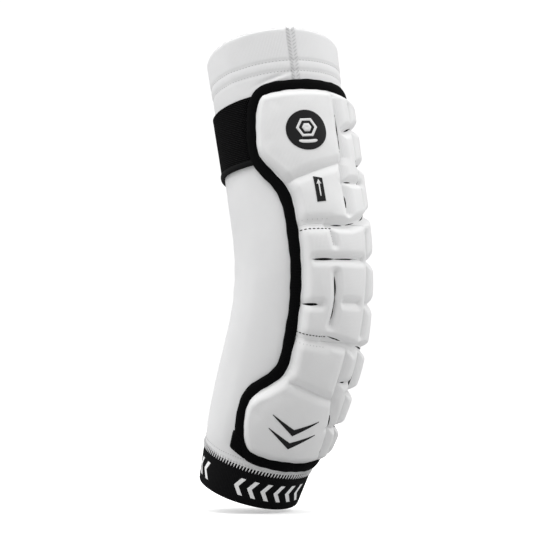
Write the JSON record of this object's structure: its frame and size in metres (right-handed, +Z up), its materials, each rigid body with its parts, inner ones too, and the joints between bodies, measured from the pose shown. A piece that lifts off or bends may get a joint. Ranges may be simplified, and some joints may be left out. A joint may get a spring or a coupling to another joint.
{
  "type": "elbow pad",
  "caption": "Pull-on arm sleeve with a segmented foam guard over the elbow, a hook-and-loop strap above it and an elastic cuff below it.",
  "frame": {"origin": "elbow pivot, on the sleeve's centre line in the middle of the arm passage", "axes": "+Z up the upper arm, +X out of the elbow tip, -Y to the outer side of a left arm"},
  "size_m": [0.145, 0.1017, 0.3432],
  "materials": {
    "white_knit": "fine matt stretch knit",
    "silicone_grip": "smooth clear silicone on elastic",
    "cuff_elastic": "woven elastic with a light woven pattern",
    "guard_cover": "smooth bonded stretch cloth",
    "binding_tape": "ribbed folded tape, matt",
    "hook_tape": "fine moulded hooks",
    "strap_loop": "brushed loop pile on elastic",
    "dark_print": "satin rubber print",
    "foam_cover": "smooth stretch cloth moulded over foam"
  },
  "bodies": {
    "upper_arm": {"backing_upper": "guard_cover", "badge_disc": "dark_print", "binding_upper": "binding_tape", "hem_gripper_band": "silicone_grip", "inner_block_1": "foam_cover", "inner_block_2": "foam_cover", "inner_block_3": "foam_cover", "label_block": "foam_cover", "ridge_block_1": "foam_cover", "ridge_block_2": "foam_cover", "ridge_block_3": "foam_cover", "side_label": "dark_print", "strap_anchor": "strap_loop", "strap_band": "strap_loop", "top_hem": "white_knit", "upper_sleeve": "white_knit", "wing_block_upper": "foam_cover"},
    "elbow_cap": {"backing_elbow": "guard_cover", "fold_strip_upper": "guard_cover", "fold_strip_lower": "guard_cover", "elbow_sleeve": "white_knit", "binding_elbow_outer": "binding_tape", "binding_elbow_inner": "binding_tape", "outer_block_1": "foam_cover", "outer_block_2": "foam_cover", "outer_block_3": "foam_cover", "ridge_block_4": "foam_cover", "ridge_block_5": "foam_cover", "ridge_block_6": "foam_cover", "inner_block_4": "foam_cover", "inner_block_5": "foam_cover", "inner_block_6": "foam_cover"},
    "forearm": {"forearm_sleeve": "white_knit", "cuff_elastic": "cuff_elastic", "backing_forearm": "guard_cover", "binding_forearm": "binding_tape", "binding_end_tab": "binding_tape", "tall_block": "foam_cover", "wing_block_lower": "foam_cover", "ridge_block_7": "foam_cover", "ridge_block_8": "foam_cover", "ridge_block_9": "foam_cover", "inner_block_7": "foam_cover", "inner_block_8": "foam_cover", "inner_block_9": "foam_cover", "chevron_upper": "dark_print", "chevron_lower": "dark_print"},
    "strap_tab": {"strap_free_end": "strap_loop", "strap_hook_patch": "hook_tape"}
  },
  "joints": [
    {"name": "elbow_flex", "type": "hinge", "parent": "upper_arm", "child": "forearm", "pos_m": [0, 0, 0], "axis": [0, 1, 0], "range_deg": [-15, 70], "stiffness_Nm_per_rad": 0.8, "deforming": ["elbow_sleeve", "fold_strip_upper", "fold_strip_lower"]},
    {"name": "cap_follow", "type": "hinge", "parent": "upper_arm", "child": "elbow_cap", "pos_m": [0, 0, 0], "axis": [0, 1, 0], "range_deg": [-8, 36]},
    {"name": "strap_open", "type": "hinge", "parent": "upper_arm", "child": "strap_tab", "pos_m": [-0.04779, 0.03504, 0.09807], "axis": [-0.1908, 0, 0.9816], "range_deg": [0, 110], "stiffness_Nm_per_rad": 0.02}
  ],
  "couplings": [
    {"joint": "cap_follow", "follows": "elbow_flex", "ratio": 0.5}
  ]
}
